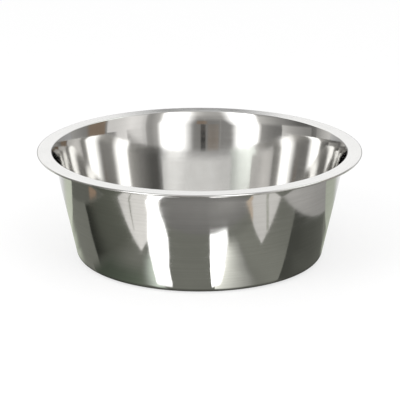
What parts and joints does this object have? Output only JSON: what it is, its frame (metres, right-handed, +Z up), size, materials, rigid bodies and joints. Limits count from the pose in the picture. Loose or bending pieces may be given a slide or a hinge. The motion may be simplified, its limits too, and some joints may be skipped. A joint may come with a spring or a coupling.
{
  "type": "feeding bowl",
  "caption": "Round polished steel feeding bowl with a flat base, a leaning wall that flares gently at the top, and a wide flat flange whose edge is folded back under itself.",
  "frame": {"origin": "centre of the flat ring that the bowl stands on, at the table", "axes": "+Z up along the bowl's axis; the bowl is round, so X and Y have no direction of their own"},
  "size_m": [0.25, 0.25, 0.084],
  "materials": {
    "polished_steel": "polished to a near mirror, with faint lines round the outer wall and a satin flange"
  },
  "bodies": {
    "root": {"bowl_shell": "polished_steel"}
  },
  "joints": []
}
